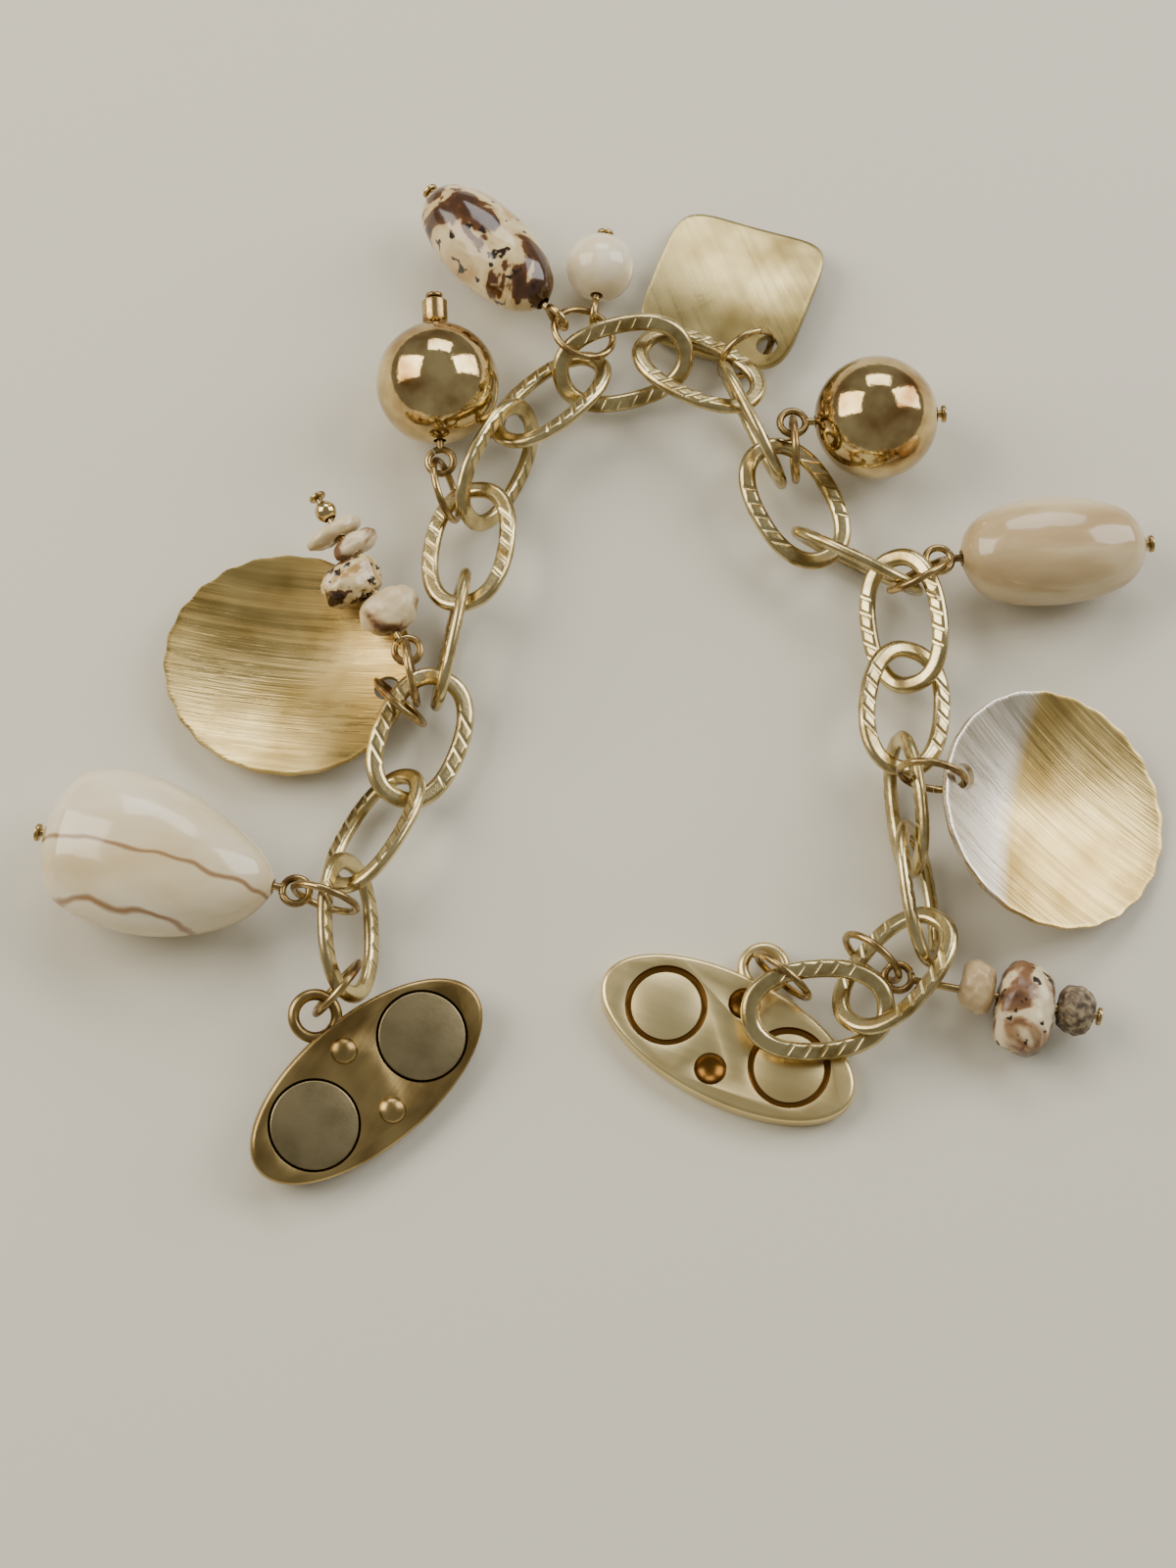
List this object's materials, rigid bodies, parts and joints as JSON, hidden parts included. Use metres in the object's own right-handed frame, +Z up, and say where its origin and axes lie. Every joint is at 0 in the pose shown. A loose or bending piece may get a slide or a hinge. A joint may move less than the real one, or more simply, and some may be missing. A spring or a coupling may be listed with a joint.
{
  "type": "charm bracelet",
  "caption": "Charm bracelet laid open: flat oval chain links, jump rings, stone beads, gold balls, brushed plates and a magnetic clasp in two halves.",
  "frame": {"origin": "middle of the part's bounding box, at the table that it lies on", "axes": "+Z up from the table, +Y from the open clasp towards the top of the arch, +X across the arch towards the tilted disc"},
  "size_m": [0.1192, 0.1148, 0.0142],
  "materials": {
    "chain_gold": "polished, worn and slightly tarnished",
    "wire_gold": "polished wire, tarnished",
    "mirror_gold": "mirror polish",
    "brushed_gold": "brushed",
    "clasp_gold": "satin, plated",
    "magnet_grey": "satin, plated",
    "cream_stone": "tumbled and polished",
    "jasper_stone": "tumbled and polished",
    "white_stone": "tumbled and polished",
    "beige_stone": "tumbled and polished",
    "speckled_stone": "rough"
  },
  "bodies": {
    "root": {"chain_link_01": "chain_gold", "chain_link_02": "chain_gold", "chain_link_03": "chain_gold", "chain_link_04": "chain_gold", "chain_link_05": "chain_gold", "chain_link_06": "chain_gold", "chain_link_07": "chain_gold", "chain_link_08": "chain_gold", "chain_link_09": "chain_gold", "chain_link_10": "chain_gold", "chain_link_11": "chain_gold", "chain_link_12": "chain_gold", "chain_link_13": "chain_gold", "chain_link_14": "chain_gold", "chain_link_15": "chain_gold", "chain_link_16": "chain_gold", "chain_link_17": "chain_gold", "chain_link_18": "chain_gold", "nugget_ring": "wire_gold", "left_ring": "wire_gold", "cluster_ring": "wire_gold", "first_ball_ring": "wire_gold", "shared_ring": "wire_gold", "square_ring": "wire_gold", "second_ball_ring": "wire_gold", "olive_ring": "wire_gold", "right_ring": "wire_gold", "beige_ring": "wire_gold", "magnet_half_ring": "wire_gold", "recess_half_ring": "wire_gold", "nugget_pin": "wire_gold", "cluster_pin": "wire_gold", "first_ball_pin": "wire_gold", "jasper_pin": "wire_gold", "white_pin": "wire_gold", "second_ball_pin": "wire_gold", "olive_pin": "wire_gold", "beige_pin": "wire_gold", "first_ball_tube": "wire_gold", "cluster_ball": "mirror_gold", "first_ball_bead": "mirror_gold", "second_ball_bead": "mirror_gold", "left_disc": "brushed_gold", "right_disc": "brushed_gold", "square_plate": "brushed_gold", "magnet_half": "clasp_gold", "recess_half": "clasp_gold", "magnet_near": "magnet_grey", "magnet_far": "magnet_grey", "nugget_bead": "cream_stone", "cluster_drop_chip": "cream_stone", "cluster_cream_chip": "cream_stone", "beige_main_chip": "cream_stone", "jasper_bead": "jasper_stone", "cluster_jasper_chip": "jasper_stone", "white_bead": "white_stone", "olive_bead": "beige_stone", "beige_flat_chip": "beige_stone", "cluster_brown_chip": "speckled_stone", "beige_rough_chip": "speckled_stone"}
  },
  "joints": []
}
